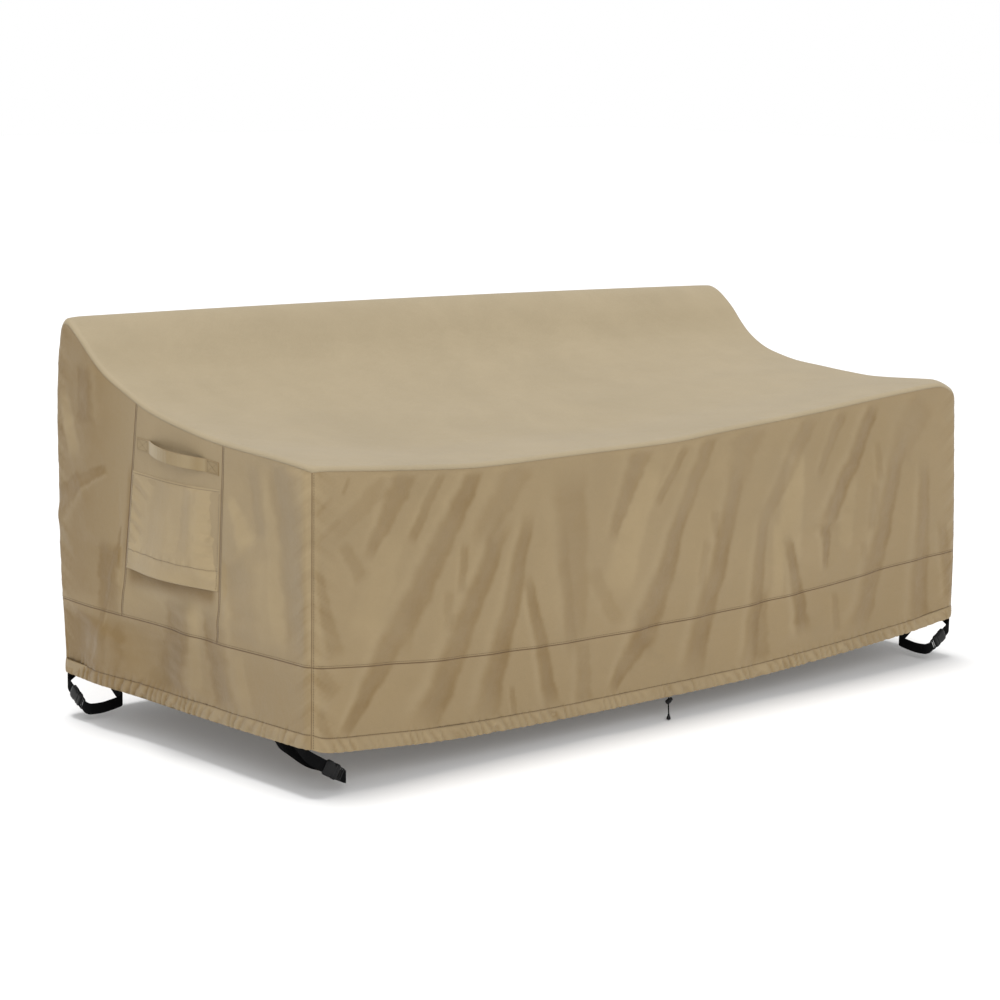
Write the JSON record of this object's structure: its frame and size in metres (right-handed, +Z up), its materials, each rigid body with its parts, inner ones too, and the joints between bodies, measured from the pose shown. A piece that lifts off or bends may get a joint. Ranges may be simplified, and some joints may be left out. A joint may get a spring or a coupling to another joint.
{
  "type": "outdoor sofa cover",
  "caption": "Fitted outdoor sofa cover of beige coated cloth, hollow and open below, with a seamed lower band, side handle, vent flap, drawcord and buckled leg straps.",
  "frame": {"origin": "underside of the top cloth at the middle of the ridge, where the top of the sofa's back holds the cover up", "axes": "+X to the right along the front as seen from the front, +Y from the front to the back, +Z up"},
  "size_m": [2.0446, 0.9029, 0.8863],
  "materials": {
    "top_cloth": "coated plain weave, soft sheen",
    "wall_cloth": "coated plain weave, soft sheen",
    "handle_cloth": "coated plain weave, matt",
    "webbing": "woven webbing, matt",
    "cord": "braided cord, matt",
    "black_plastic": "moulded, half gloss"
  },
  "bodies": {
    "root": {"back_band": "wall_cloth", "back_panel": "wall_cloth", "buckle_plug_back_left": "black_plastic", "buckle_plug_back_right": "black_plastic", "buckle_plug_front_left": "black_plastic", "buckle_plug_front_right": "black_plastic", "buckle_socket_back_left": "black_plastic", "buckle_socket_back_right": "black_plastic", "buckle_socket_front_left": "black_plastic", "buckle_socket_front_right": "black_plastic", "cord_end": "black_plastic", "cord_lock_body": "black_plastic", "cord_lock_button": "black_plastic", "drawcord": "cord", "front_band": "wall_cloth", "front_panel": "wall_cloth", "handle": "handle_cloth", "left_band": "wall_cloth", "left_front_panel": "wall_cloth", "left_rear_panel": "wall_cloth", "left_vent_panel": "wall_cloth", "long_strap_back_left": "webbing", "long_strap_back_right": "webbing", "long_strap_front_left": "webbing", "long_strap_front_right": "webbing", "right_band": "wall_cloth", "right_panel": "wall_cloth", "short_strap_back_left": "webbing", "short_strap_back_right": "webbing", "short_strap_front_left": "webbing", "short_strap_front_right": "webbing", "top_panel": "top_cloth", "vent_flap": "wall_cloth"}
  },
  "joints": []
}
